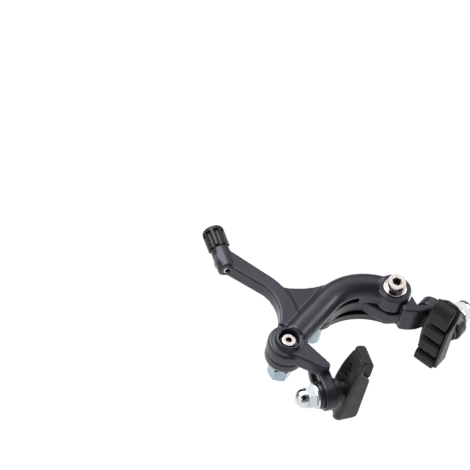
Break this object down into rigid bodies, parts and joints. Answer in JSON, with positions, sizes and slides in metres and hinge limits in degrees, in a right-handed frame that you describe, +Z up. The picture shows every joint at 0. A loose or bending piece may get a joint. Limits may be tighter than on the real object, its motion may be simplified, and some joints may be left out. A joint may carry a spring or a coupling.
{
  "type": "bicycle caliper brake",
  "caption": "Side-pull bicycle rim brake with lapped forged arms, slotted legs, grooved rubber shoes, a cable adjuster and a centre mounting bolt.",
  "frame": {"origin": "on the centre mounting bolt's axis, where the mounting nut's sleeve leaves its collar", "axes": "+Z up, +X to the right as seen from the front, +Y back towards the bicycle's frame"},
  "size_m": [0.1075, 0.054, 0.1113],
  "materials": {
    "black_enamel": "semi-gloss black paint on forged alloy",
    "zinc_plate": "bright bluish zinc plating",
    "bright_nickel": "polished nickel plating",
    "spring_wire": "drawn spring steel",
    "bearing_polymer": "smooth bearing plastic",
    "black_anodise": "black anodised alloy",
    "black_plastic": "moulded black plastic",
    "black_washer": "black steel",
    "shoe_rubber": "matte black moulded rubber"
  },
  "bodies": {
    "bracket": {"back_bracket": "black_enamel", "mounting_bolt": "zinc_plate", "seat_washer": "zinc_plate", "mounting_nut": "zinc_plate", "rear_thrust_washer": "bearing_polymer", "front_thrust_washer": "bearing_polymer", "pivot_spacer": "zinc_plate", "pivot_bolt": "bright_nickel", "pivot_washer": "bright_nickel", "return_spring": "spring_wire"},
    "front_arm": {"c_arm": "black_enamel", "centring_screw": "bright_nickel", "left_shoe": "shoe_rubber", "left_post": "zinc_plate", "left_inner_washer": "black_washer", "left_cup_washer": "black_washer", "left_flat_washer": "bright_nickel", "left_dome_nut": "bright_nickel"},
    "rear_arm": {"y_arm": "black_enamel", "anchor_bolt": "zinc_plate", "anchor_washer": "zinc_plate", "anchor_nut": "zinc_plate", "right_shoe": "shoe_rubber", "right_post": "zinc_plate", "right_inner_washer": "black_washer", "right_cup_washer": "black_washer", "right_flat_washer": "bright_nickel", "right_dome_nut": "bright_nickel"},
    "adjuster": {"adjuster_barrel": "black_anodise", "adjuster_knob": "black_plastic"}
  },
  "joints": [
    {"name": "front_arm_close", "type": "hinge", "parent": "bracket", "child": "front_arm", "pos_m": [0.0294, 0, -0.0162], "axis": [0, -1, 0], "range_deg": [0, 13]},
    {"name": "rear_arm_close", "type": "hinge", "parent": "bracket", "child": "rear_arm", "pos_m": [0, 0, 0], "axis": [0, 1, 0], "range_deg": [0, 17.64], "stiffness_Nm_per_rad": 0.4, "springref_deg": -28.65, "deforming": ["return_spring"]},
    {"name": "adjuster_turn", "type": "hinge", "parent": "front_arm", "child": "adjuster", "pos_m": [-0.03, -0.02135, 0.037], "axis": [0.3305, 0, 0.9438], "continuous": true}
  ],
  "couplings": [
    {"joint": "rear_arm_close", "follows": "front_arm_close", "ratio": 1.357}
  ]
}
